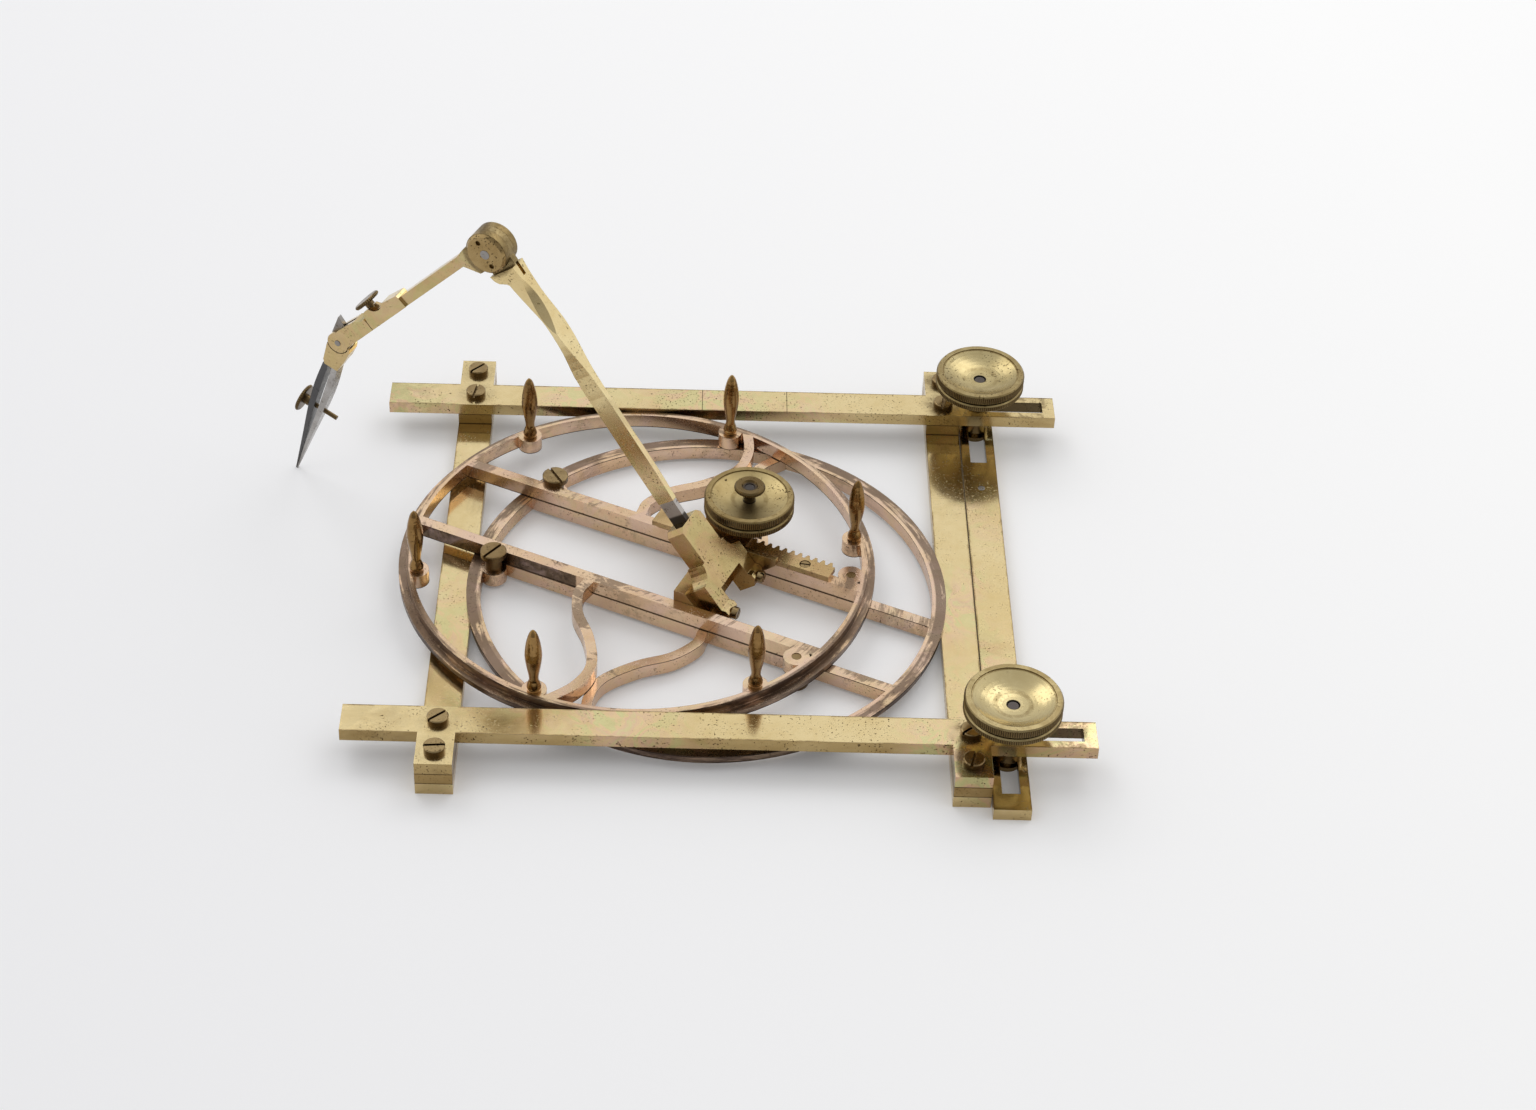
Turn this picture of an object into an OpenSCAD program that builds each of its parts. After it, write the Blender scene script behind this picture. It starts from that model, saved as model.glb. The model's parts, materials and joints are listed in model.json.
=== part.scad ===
// Ellipsograph: two equal rings, clamped off centre, run in a frame of crossed rails.
// The upper ring runs between the two upper rails and the lower ring between the two lower rails,
// so a turn of the rings carries the pen round an ellipse.
// Origin: middle of the window between the rails. X to the right, Y to the back, Z up from the paper.

/* [Frame] */
// Clear width between opposite rails, both ways
window = 144; // [120:1:175]
// Width of each rail
rail_w = 11; // [9:0.5:14]
// Thickness of each rail
rail_t = 4; // [3.2:0.1:5]
// Thickness of the packing pieces that part the upper rails from the lower ones
spacer_t = 4; // [3.4:0.1:5]
// Length of each upper rail past the window on the left
reach_left = 33.8; // [28:0.1:45]
// Length of each upper rail past the window on the right
reach_right = 42.2; // [38:0.1:55]
// Length of the corner tabs past the outer edge of the upper rails
tab_len = 13; // [11:0.5:18]
// Diameter of the corner screw heads
corner_head_d = 6.4; // [5:0.1:7]
// Height of the corner screw heads
corner_head_h = 2; // [1.4:0.1:2.4]
// Diameter of the corner screw threads
corner_thread_d = 3; // [2:0.1:3.6]

/* [Anchor bar] */
// Width of the sliding anchor bar
bar_w = 11; // [9:0.5:14]
// Wall left past each slot at the anchor bar's ends
bar_end_wall = 6.6; // [5:0.1:9]
// Width of the slots for the clamp studs
slot_w = 5.3; // [4:0.1:6]
// Length of each slot in the anchor bar from its stud towards the middle
bar_slot_in = 19.7; // [14:0.1:24]
// Length of each slot in the anchor bar from its stud towards the end
bar_slot_out = 16.6; // [12:0.1:19]
// Wall left between each upper rail's slot and the rail's right end
rail_slot_wall = 3.9; // [3:0.1:6]
// Place of the riveted pin along the anchor bar
bar_pin_y = 44.5; // [20:0.5:50]
// Diameter of the riveted pin
bar_pin_d = 2.2; // [1.5:0.1:3]

/* [Clamp knobs] */
// Diameter of the milled clamp discs
disc_d = 28.4; // [22:0.1:29]
// Thickness of the dished top discs
top_disc_t = 3.3; // [2.6:0.1:4]
// Thickness of the lower milled discs
low_disc_t = 2.4; // [2:0.1:3.2]
// Gap between the two discs of a pair
disc_gap = 0.4; // [0.3:0.1:1]
// Height of the conical neck under a lower disc
cone_h = 8.4; // [7:0.1:11]
// Diameter of the hub under a top disc
hub_d = 12; // [10:0.1:14]
// Height of the hub under a top disc
hub_h = 1.2; // [0.9:0.1:1.6]
// Diameter of the round boss between rail and anchor bar
boss_d = 9; // [7:0.1:10]

/* [Rings] */
// Distance between the centres of the two rings
offset_e = 23.9; // [0:0.1:38]
// Angle of the crossbars below the X axis
turn = 24.7; // [0:0.1:40]
// Radial thickness of each ring's rim
rim_w = 2; // [1.5:0.1:3]
// Width of the flange that overlaps the rails
flange_w = 2.3; // [1.5:0.1:4]
// Distance of each crossbar's inner face from the ring's middle
cross_in = 14.4; // [13:0.1:17]
// Width of each crossbar
cross_w = 3.6; // [3:0.1:5]
// Width of the scrolled braces
brace_w = 3.2; // [2.4:0.1:4.5]
// Radius of the round lugs under the handles
handle_lug_r = 3.8; // [3.5:0.1:5]
// Angle of the four handles beside the crossbars, from the crossbars' direction
handle_angle = 33; // [28:0.5:38]
// Height of a handle
handle_h = 23.3; // [18:0.1:28]
// Largest diameter of a handle
handle_d = 5.2; // [4:0.1:6.5]
// Place of the guide lugs along the crossbars, from the ring's middle
guide_u = 63.5; // [60:0.1:64]
// Diameter of the guide screws' shoulders
shoulder_d = 5.4; // [4:0.1:6]
// Diameter of the guide screws' heads
guide_head_d = 8.2; // [7:0.1:9]
// Thickness of the guide screws' heads under the rings
guide_head_t = 1.05; // [0.8:0.05:1.2]
// Thickness of the guide screws' heads on top of the rings
guide_top_t = 2; // [1.2:0.1:2.4]

/* [Rack and pinion] */
// Number of pinion teeth
pinion_teeth = 14; // [14:1:18]
// Pitch of the rack teeth
rack_pitch = 2.57; // [2.2:0.01:2.8]
// Thickness of the rack
rack_t = 1.8; // [1.4:0.1:2.4]
// Left end of the rack along the crossbar
rack_left = 4; // [2:0.5:8]
// Right end of the rack along the crossbar
rack_right = 58.5; // [54:0.5:60]
// Width of the rack from its front edge to the pitch line
rack_w = 6.15; // [5.5:0.05:7]
// Place of the pinion along the crossbar
pinion_u = 25.9; // [22:0.1:28]
// Diameter of the pinion knob
knob_d = 27.8; // [22:0.1:29]
// Diameter of the bearing boss that carries the pinion
drum_d = 14; // [11:0.1:18]
// Reach of the bearing's block to the left of the pinion
drum_reach = 11.5; // [9:0.1:13]
// Height of the bearing above the carriage plate
drum_h = 3.5; // [2.5:0.1:5]
// Diameter of the small nut that locks the knob
nut_d = 9.4; // [7:0.1:11]

/* [Carriage and bracket] */
// Left end of the carriage plate along the crossbar
plate_left = -1; // [-3:0.5:4]
// Right end of the carriage plate over the rack
plate_right = 30.5; // [27:0.5:38]
// Right end of the carriage's skirt before the crossbar
skirt_right = 41.5; // [38:0.5:44]
// Thickness of the carriage plate
plate_t = 1.7; // [1.3:0.1:2.2]
// Slope of the bracket below the horizontal
bracket_slope = 50.2; // [46:0.1:54]
// Thickness of the bracket, front face to back face
bracket_t = 6.6; // [5.5:0.1:7.5]
// Half width of the bracket's stem
stem_half = 6.1; // [5:0.1:7]
// Half width of the bracket across its feet
feet_half = 12.4; // [11:0.1:13.5]
// Width of each foot
foot_w = 5.9; // [4.5:0.1:6.5]

/* [Compass arm] */
// Place of the arm's socket along the crossbars, from the upper ring's middle
socket_u = 12.3; // [10:0.1:14]
// Height of the arm's socket
socket_z = 31; // [29:0.1:34]
// Slope of the long leg below the horizontal
leg_slope = 52.6; // [46:0.1:58]
// Length from the socket to the compass joint
leg_len = 100.7; // [80:0.1:120]
// Thickness of the long leg at its slim lower end
leg_w = 2; // [1.6:0.1:3]
// Width of the long leg where it swells
leg_swell = 6.8; // [5:0.1:8]
// Diameter of the compass joint
joint_d = 13.5; // [11:0.1:15]
// Thickness of the compass joint without its end caps
joint_t = 6.9; // [6:0.1:10]
// Slope of the pen leg below the horizontal
pen_leg_slope = 43.5; // [38:0.1:48]
// Length from the compass joint to the knee
pen_leg_len = 75.4; // [65:0.1:85]
// Width of the pen leg's bar
pen_leg_w = 3.5; // [3.2:0.1:4.4]
// Slope of the pen below the horizontal
pen_slope = 70.7; // [64:0.1:80]
// Diameter of the knurled thumb screw's head
thumb_d = 8.6; // [7:0.1:10]
// Diameter of the knurled head of the pen's screw
pen_screw_d = 9; // [7:0.1:10]

/* [Hidden] */
$fn = 96;

// Fits
fit = 0.08;          // radial play of a running fit
seat = 0.05;         // gap between two seated flat faces
free = 0.3;          // gap between parts that only pass each other
eps = 0.01;          // overlap that joins two solids of one piece

// Heights of the frame's layers
z_gap = rail_t;
z_up = rail_t + spacer_t;
z_top = 2 * rail_t + spacer_t;
z_mid = rail_t + spacer_t / 2;
half = window / 2;
outer = half + rail_w;
tab_end = outer + tab_len;
corner_x = half + rail_w / 2;
corner_y = [half + 0.52 * rail_w, outer + 0.54 * tab_len];

// Rings
ring_t = z_mid - seat - guide_head_t - 3 * seat;
flange_t = spacer_t / 2 - 2 * seat;
body_r = half - fit;
rim_r = body_r - rim_w;
flange_r = body_r + flange_w;
ring_top = z_mid + seat + ring_t;
cross_out = cross_in + cross_w;
guide_v = cross_out + shoulder_d / 2 + fit;
guide_lug_r = 4;
guide_thread_d = 3;
handle_r = rim_r - 1.3;
handle_angles = [handle_angle, 90, 180 - handle_angle, 180 + handle_angle, 270, 360 - handle_angle];
handle_pin_d = 2.5;
handle_hole = 3.4;
upper_x = -offset_e * cos(turn);
lower_y = -offset_e * sin(turn);
brace_path = [[-7.4, cross_out - 2], [-7.8, cross_out + 1.5], [-8, 24.4], [-4, 32.7], [3.9, 40.9],
    [10.3, 51.7], [9.9, 61.6], [5.4, rim_r + 0.6]];

// Anchor bar and clamp studs
bar_x0 = outer + free;
stud_x = bar_x0 + bar_w / 2;
stud_y = half + rail_w / 2;
stud_d = slot_w - 2 * fit;
foot_d = 8;
foot_t = 1.4;
bar_half = stud_y + bar_slot_out + bar_end_wall;
rail_end = half + reach_right;
cone_z = z_top + seat;
low_disc_z = cone_z + cone_h;
top_disc_z = low_disc_z + low_disc_t + disc_gap;
stud_top = top_disc_z - 0.1;
rail_slot_x0 = stud_x - slot_w / 2 - fit;

// Rack and pinion
mod = rack_pitch / PI;
pitch_r = pinion_teeth * mod / 2;
rack_v = cross_in + 0.1;
pitch_v = rack_v + rack_w;
pinion_v = pitch_v + pitch_r;
rack_add = 0.8 * mod;
rack_ded = mod + 0.15;
rack_top = ring_top + rack_t;
pressure = 20;
backlash = 0.06;
rack_screw_u = [rack_left + 5, rack_right - 9];
rack_screw_v = rack_v + 2.6;

// Carriage
plate_z = rack_top + 2 * seat;
plate_top = plate_z + plate_t;
skirt_v = cross_in - fit;
skirt_t = 1.8;
plate_r = drum_d / 2 - 0.1;
block_left = 19.5;
block_low = z_mid + free;
arbor_d = 4.4;
drum_top = plate_top + drum_h;
lock_z = drum_top + 0.6;
lock_t = 2.6;
knob_z = lock_z + lock_t + disc_gap;
knob_t = 3.4;
nut_z = knob_z + 0.35 * knob_t;
nut_top = knob_z + knob_t + 3.8;

// Bracket, in its own slope: x runs down the slope and z stands on its front face
front_n = 4.4;
back_n = front_n - bracket_t;
stem_top = 2.8;
cove_start = 15.8;
cove_end = 20.9;
notch_start = 25.3;
toe_end = 34.4;
toe_u = 37.3;
toe_top = 10.9;
screw_z = 8.9;
screw_v = feet_half - foot_w / 2;
tang_w = leg_w - 0.2;
tang_low = -1.7;
tang_high = 3.9;
tang_in = 11;
tang_show = 5.1;

// Joint and pen leg
joint_r = joint_t / 6;
joint_pin_d = 3;
joint_u = socket_u - leg_len * cos(leg_slope);
joint_z = socket_z + leg_len * sin(leg_slope);
split_x = pen_leg_len - 16.1;
bar_drop = 1.25;
bar_lean = 2.6;
thumb_x = split_x - 4;
cap_t = 0.9;
knee_u = joint_u - pen_leg_len * cos(pen_leg_slope);
knee_z = joint_z - pen_leg_len * sin(pen_leg_slope);
pen_len = (knee_z - 0.05) / sin(pen_slope);
knee_r = 3.6;
knee_w = 5.2;
tongue_t = 1.6;
knee_pin_d = 2;
blade_start = 11;
pen_screw_x = 32.3;

// Colours
brass = [0.80, 0.70, 0.42];
red_brass = [0.78, 0.60, 0.47];
dark_brass = [0.50, 0.40, 0.20];
steel = [0.55, 0.55, 0.56];

// Places: each puts its children in the axes of one piece

module on_upper() {
    translate([upper_x, 0, 0]) rotate([0, 0, -turn]) children();
}

module on_lower() {
    translate([0, lower_y, 0]) rotate([0, 0, -turn]) children();
}

module on_slope() {
    on_upper() translate([socket_u, 0, socket_z]) rotate([0, bracket_slope, 0]) children();
}

module on_long_leg() {
    on_upper() translate([socket_u, 0, socket_z]) rotate([0, leg_slope, 0]) children();
}

module on_pen_leg() {
    on_upper() translate([joint_u, 0, joint_z]) rotate([0, 180 - pen_leg_slope, 0]) children();
}

// The pen leg's bar leans a little to the line from joint to knee
module on_bar() {
    on_pen_leg() translate([pen_leg_len, 0, bar_drop]) rotate([0, -bar_lean, 0])
        translate([-pen_leg_len, 0, 0]) children();
}

module on_pen() {
    on_upper() translate([knee_u, 0, knee_z]) rotate([0, 180 - pen_slope, 0]) children();
}

// Curves

// Point on a smooth curve through four control points, t from 0 to 1 between the middle two
function smooth(a, b, c, d, t) = 0.5 * (2 * b + (c - a) * t + (2 * a - 5 * b + 4 * c - d) * t * t
    + (3 * b - a - 3 * c + d) * t * t * t);
function pick(p, i) = p[max(0, min(len(p) - 1, i))];
function curve(p, steps) = [for (i = [0 : (len(p) - 1) * steps])
    let (k = min(floor(i / steps), len(p) - 2), t = i / steps - k)
    smooth(pick(p, k - 1), p[k], p[k + 1], pick(p, k + 2), t)];
function side(p, i, w) = let (a = pick(p, i - 1), b = pick(p, i + 1), d = b - a)
    p[i] + w / 2 * [-d[1], d[0]] / norm(d);
// Outline of a strip of width w that follows the curve
function strip(p, w) = concat([for (i = [0 : len(p) - 1]) side(p, i, w)],
    [for (i = [len(p) - 1 : -1 : 0]) side(p, i, -w)]);

// Involute of the base circle, as a polar angle in degrees at radius r
function involute(base, r) = let (a = acos(min(1, base / r))) tan(a) * 180 / PI - a;
function polar(r, a) = [r * cos(a), r * sin(a)];

// Fasteners

// Slotted screw, head up from z = 0, threaded part down
module slotted_screw(head_d, head_h, thread_d, thread_l, slot = 0.8, way = 0) {
    edge = min(0.3, head_h / 4);
    difference() {
        union() {
            rotate_extrude() polygon([[0, 0], [head_d / 2, 0], [head_d / 2, head_h - edge],
                [head_d / 2 - edge, head_h], [0, head_h]]);
            translate([0, 0, -thread_l]) cylinder(d = thread_d, h = thread_l + eps);
        }
        rotate([0, 0, way]) translate([-head_d, -slot / 2, 0.45 * head_h]) cube([2 * head_d, slot, head_h]);
    }
}

// Frame

module corner_holes(d) {
    for (sx = [-1, 1], sy = [-1, 1], y = corner_y)
        translate([sx * corner_x, sy * y, 1]) cylinder(d = d, h = z_top);
}

module upper_rail(sy) {
    difference() {
        union() {
            translate([-half - reach_left, sy > 0 ? half : -outer, z_up])
                cube([window + reach_left + reach_right, rail_w, rail_t]);
            for (sx = [-1, 1])
                translate([sx > 0 ? half : -outer, sy > 0 ? outer - eps : -tab_end, z_up])
                    cube([rail_w, tab_len + eps, rail_t]);
        }
        corner_holes(corner_thread_d + 0.1);
        translate([rail_slot_x0, sy * stud_y - slot_w / 2, z_up - 1])
            cube([rail_end - rail_slot_wall - rail_slot_x0, slot_w, rail_t + 2]);
    }
}

module back_rail() {
    color(brass) upper_rail(1);
}

module front_rail() {
    color(brass) upper_rail(-1);
}

module lower_rail(sx) {
    difference() {
        translate([sx > 0 ? half : -outer, -tab_end, 0]) cube([rail_w, 2 * tab_end, rail_t]);
        corner_holes(corner_thread_d + 0.1);
    }
}

module left_rail() {
    color(brass) lower_rail(-1);
}

module right_rail() {
    color(brass) lower_rail(1);
}

module corner_spacers() {
    color(brass) difference() {
        for (sx = [-1, 1], sy = [-1, 1])
            translate([sx > 0 ? half : -outer, sy > 0 ? half : -tab_end, z_gap])
                cube([rail_w, rail_w + tab_len, spacer_t]);
        corner_holes(corner_thread_d + 0.1);
    }
}

module corner_screws() {
    color(dark_brass) for (sx = [-1, 1], sy = [-1, 1], k = [0, 1])
        translate([sx * corner_x, sy * corner_y[k], z_top])
            slotted_screw(corner_head_d, corner_head_h, corner_thread_d, z_top - 1.2,
                way = 60 + 35 * k * sx + 20 * sy);
}

// Anchor bar and its clamps

module anchor_bar() {
    color(brass) difference() {
        translate([bar_x0, -bar_half, 0]) cube([bar_w, 2 * bar_half, rail_t]);
        for (sy = [-1, 1]) {
            y0 = sy > 0 ? stud_y - bar_slot_in : -stud_y - bar_slot_out;
            run = bar_slot_in + bar_slot_out;
            more = (foot_d - slot_w) / 2 + fit;
            translate([stud_x - slot_w / 2, y0, -1]) cube([slot_w, run, rail_t + 2]);
            translate([stud_x - foot_d / 2 - fit, y0 - more, -1])
                cube([foot_d + 2 * fit, run + 2 * more, foot_t + 1.4]);
        }
        translate([stud_x, bar_pin_y, -1]) cylinder(d = bar_pin_d + 0.02, h = rail_t + 2);
    }
}

module anchor_pin() {
    color(steel) translate([stud_x, bar_pin_y, 0]) cylinder(d = bar_pin_d, h = rail_t + 0.15);
}

// Stud with a foot in the anchor bar's grooved slot, a boss under the rail and a threaded end
module stud() {
    color(dark_brass) rotate_extrude() polygon([[0, 0.25], [foot_d / 2, 0.25], [foot_d / 2, foot_t + 0.25],
        [stud_d / 2, foot_t + 0.25], [stud_d / 2, rail_t + seat], [boss_d / 2, rail_t + seat],
        [boss_d / 2, z_up - seat], [stud_d / 2, z_up - seat], [stud_d / 2, cone_z],
        [1.9, cone_z + 0.7], [1.9, stud_top - 0.3], [1.6, stud_top], [0, stud_top]]);
}

module back_stud() {
    translate([stud_x, stud_y, 0]) stud();
}

module front_stud() {
    translate([stud_x, -stud_y, 0]) stud();
}

// Lower milled disc on a cone that presses on the rail
module clamp_nut() {
    r = disc_d / 2;
    h = cone_h + low_disc_t;
    sink = hub_h - disc_gap + seat;
    color(brass) translate([0, 0, cone_z]) rotate_extrude() polygon([[2.75, 0], [3.3, 0],
        [3.4, 0.09 * cone_h], [3.9, 0.38 * cone_h], [4.9, 0.69 * cone_h], [6.2, cone_h],
        [r - 0.5, cone_h], [r, cone_h + 0.5], [r, h - 0.4], [r - 0.4, h], [hub_d / 2 + free, h],
        [hub_d / 2 + free, h - sink], [1.98, h - sink], [1.98, 1.5], [2.75, 0.8]]);
}

module back_clamp_nut() {
    translate([stud_x, stud_y, 0]) clamp_nut();
}

module front_clamp_nut() {
    translate([stud_x, -stud_y, 0]) clamp_nut();
}

// Dished disc: flat rim, step and hollow, with a hub below, bored for a threaded end
module dished_disc(d, t, bore_d, hollow, hub_r, hub_t) {
    r = d / 2;
    first = bore_d / 2;
    bowl = [for (i = [0 : 8]) let (k = i / 8)
        [first + (r - 2.2 - first) * k, t - hollow + (hollow - 0.35) * pow(k, 2.2)]];
    rotate_extrude() polygon(concat([[first, -hub_t], [hub_r, -hub_t], [hub_r, 0], [r - 0.5, 0], [r, 0.5],
        [r, t - 0.45], [r - 0.3, t], [r - 1.8, t], [r - 1.9, t - 0.35]],
        [for (i = [8 : -1 : 0]) bowl[i]]));
}

module top_disc() {
    color(brass) translate([0, 0, top_disc_z]) dished_disc(disc_d, top_disc_t, 3.9, 3.1, hub_d / 2, hub_h);
}

module back_top_disc() {
    translate([stud_x, stud_y, 0]) top_disc();
}

module front_top_disc() {
    translate([stud_x, -stud_y, 0]) top_disc();
}

// Rings

// One casting serves for both rings. It stands on its sliding face, flange first.
module ring_casting(with_handles) {
    difference() {
        union() {
            difference() {
                union() {
                    cylinder(r = body_r, h = ring_t, $fn = 180);
                    cylinder(r = flange_r, h = flange_t, $fn = 180);
                }
                translate([0, 0, -1]) cylinder(r = rim_r, h = ring_t + 2, $fn = 180);
            }
            intersection() {
                cylinder(r = rim_r + 0.5, h = ring_t, $fn = 180);
                union() {
                    for (s = [-1, 1]) {
                        translate([-body_r, s > 0 ? cross_in : -cross_out, 0])
                            cube([2 * body_r, cross_w, ring_t]);
                        translate([guide_u, s * guide_v, 0]) cylinder(r = guide_lug_r, h = ring_t);
                        scale([1, s, 1]) linear_extrude(ring_t) polygon(strip(curve(brace_path, 5), brace_w));
                    }
                    if (with_handles)
                        for (a = handle_angles)
                            rotate([0, 0, a]) translate([handle_r, 0, 0]) cylinder(r = handle_lug_r, h = ring_t);
                }
            }
        }
        for (s = [-1, 1])
            translate([guide_u, s * guide_v, -1]) cylinder(d = guide_thread_d + 0.04, h = ring_t + 2);
        if (with_handles)
            for (a = handle_angles)
                rotate([0, 0, a]) translate([handle_r, 0, ring_t - handle_hole])
                    cylinder(d = handle_pin_d + 0.04, h = handle_hole + 1);
    }
}

// The crossbar of the upper ring is also tapped for the rack's two screws
module upper_ring() {
    color(red_brass) on_upper() difference() {
        translate([0, 0, z_mid + seat]) ring_casting(true);
        for (u = rack_screw_u)
            translate([u, rack_screw_v, ring_top - 3]) cylinder(d = 1.64, h = 4);
    }
}

module lower_ring() {
    color(red_brass) on_lower() translate([0, 0, z_mid - seat]) rotate([0, 180, 0]) ring_casting(false);
}

module handle() {
    r = handle_d / 2;
    h = handle_h;
    rotate_extrude() polygon(concat(
        [[0, -handle_hole + 0.3], [handle_pin_d / 2, -handle_hole + 0.3], [handle_pin_d / 2, seat]],
        curve([[0.78 * r, seat], [0.86 * r, 0.05 * h], [0.72 * r, 0.11 * h], [0.56 * r, 0.17 * h],
            [0.6 * r, 0.25 * h], [0.83 * r, 0.4 * h], [r, 0.58 * h], [0.84 * r, 0.77 * h],
            [0.52 * r, 0.92 * h], [0.2 * r, 0.985 * h], [0.0, h]], 3)));
}

module ring_handles() {
    color(dark_brass) on_upper()
        for (a = handle_angles)
            rotate([0, 0, a]) translate([handle_r, 0, ring_top]) handle();
}

// Shoulder screws: the shoulder runs along the other ring's crossbar and the head overlaps it
module guide_pair(head_t) {
    reach = ring_t + 2 * seat;
    for (s = [-1, 1])
        translate([guide_u, s * guide_v, 0]) {
            translate([0, 0, -reach - 0.5 * seat]) rotate([180, 0, 0])
                slotted_screw(guide_head_d, head_t, shoulder_d, reach - seat, slot = 0.9, way = 20 - 55 * s);
            translate([0, 0, -0.6]) cylinder(d = guide_thread_d, h = ring_t + 0.4);
        }
}

module upper_guide_screws() {
    color(dark_brass) on_upper() translate([0, 0, z_mid + seat]) guide_pair(guide_head_t);
}

module lower_guide_screws() {
    color(dark_brass) on_lower() translate([0, 0, z_mid - seat]) rotate([0, 180, 0])
        guide_pair(guide_top_t);
}

// Rack and pinion

module rack() {
    first = ceil((rack_left + 1 - pinion_u) / rack_pitch);
    last = floor((rack_right - 1 - pinion_u) / rack_pitch);
    half_tip = rack_pitch / 4 - rack_add * tan(pressure) - backlash;
    half_root = rack_pitch / 4 + rack_ded * tan(pressure) - backlash;
    color(brass) on_upper() difference() {
        translate([0, 0, ring_top]) linear_extrude(rack_t) union() {
            translate([rack_left, rack_v]) square([rack_right - rack_left, rack_w - rack_ded]);
            for (k = [first : last])
                translate([pinion_u + k * rack_pitch, pitch_v])
                    polygon([[-half_root, -rack_ded - eps], [half_root, -rack_ded - eps],
                        [half_tip, rack_add], [-half_tip, rack_add]]);
        }
        for (u = rack_screw_u)
            translate([u, rack_screw_v, ring_top - 1]) {
                cylinder(d = 1.7, h = rack_t + 2);
                translate([0, 0, 1.7]) cylinder(d = 3.5, h = rack_t);
            }
    }
}

module rack_screws() {
    color(dark_brass) on_upper()
        for (u = rack_screw_u)
            translate([u, rack_screw_v, ring_top + 0.72]) slotted_screw(3.4, rack_t - 0.8, 1.6, 3.2, slot = 0.5, way = 15);
}

// Outline of the pinion, with a gap and not a tooth on the side of the rack
function pinion_outline() =
    let (base = pitch_r * cos(pressure), tip = pitch_r + mod, root = pitch_r - rack_add - 0.25,
        quarter = 90 / pinion_teeth - backlash / pitch_r * 180 / PI,
        mid = quarter + involute(base, pitch_r),
        radii = [base, (2 * base + tip) / 3, (base + 2 * tip) / 3, tip])
    [for (k = [0 : pinion_teeth - 1]) let (a = -90 + (k + 0.5) * 360 / pinion_teeth)
        each concat([polar(root, a - mid)],
            [for (r = radii) polar(r, a - mid + involute(base, r))],
            [for (i = [3 : -1 : 0]) polar(radii[i], a + mid - involute(base, radii[i]))],
            [polar(root, a + mid)])];

module at_pinion() {
    on_upper() translate([pinion_u, pinion_v, 0]) children();
}

module pinion() {
    color(dark_brass) at_pinion() union() {
        translate([0, 0, ring_top + 0.15]) linear_extrude(rack_t - 0.25) polygon(pinion_outline());
        translate([0, 0, ring_top + 0.3]) cylinder(d = arbor_d, h = knob_z + 0.8 - ring_top - 0.3);
        translate([0, 0, knob_z]) cylinder(d = 3, h = nut_top - 0.9 - knob_z);
    }
}

// The bearing steadies the arbor: a round boss with a block to its left, notched along its top edge
module pinion_drum() {
    r = drum_d / 2;
    color(dark_brass) at_pinion() difference() {
        translate([0, 0, plate_top]) union() {
            cylinder(r = r, h = drum_h);
            translate([-drum_reach, -r, 0]) cube([drum_reach, 2 * r, drum_h]);
        }
        translate([0, 0, plate_top - 1]) cylinder(r = arbor_d / 2 + fit, h = drum_h + 2);
        for (x = [-drum_reach + 2.2 : 3.1 : -1], s = [-1, 1])
            translate([x, s * r, drum_top]) cube([1.3, 3, 1.2], center = true);
        for (s = [-1, 1])
            translate([2 - drum_reach, s * 4.5, plate_top - 1]) cylinder(d = 1.44, h = drum_h);
    }
}

module pinion_lock_disc() {
    r = knob_d / 2;
    color(brass) at_pinion() translate([0, 0, lock_z]) rotate_extrude() polygon([[arbor_d / 2 + fit, 0],
        [r - 0.5, 0], [r, 0.5], [r, lock_t - 0.4], [r - 0.4, lock_t], [arbor_d / 2 + fit, lock_t]]);
}

module pinion_knob() {
    color(brass) at_pinion() translate([0, 0, knob_z]) difference() {
        dished_disc(knob_d, knob_t, 3.06, 2.2, 5, 0.01);
        translate([0, 0, -1]) cylinder(d = arbor_d + 0.04, h = 1.85);
    }
}

// Small milled nut, a cone that widens upward to a dished top
module knob_nut() {
    r = nut_d / 2;
    h = nut_top - nut_z;
    color(brass) at_pinion() translate([0, 0, nut_z]) rotate_extrude() polygon([[1.5 + fit, 0.1], [1.9, 0.1],
        [2, 0.3 * h], [0.62 * r, 0.5 * h], [r, 0.78 * h], [r, 0.92 * h], [r - 0.4, h], [2.6, h - 0.1],
        [2.1, h - 0.7], [1.5 + fit, h - 0.7]]);
}

// Carriage

// Height of the bracket's back face above the table at a place along the crossbars, and the reverse
function slope_u(z, n) = socket_u + (n + cos(bracket_slope) * (socket_z - z)) / sin(bracket_slope);

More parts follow.
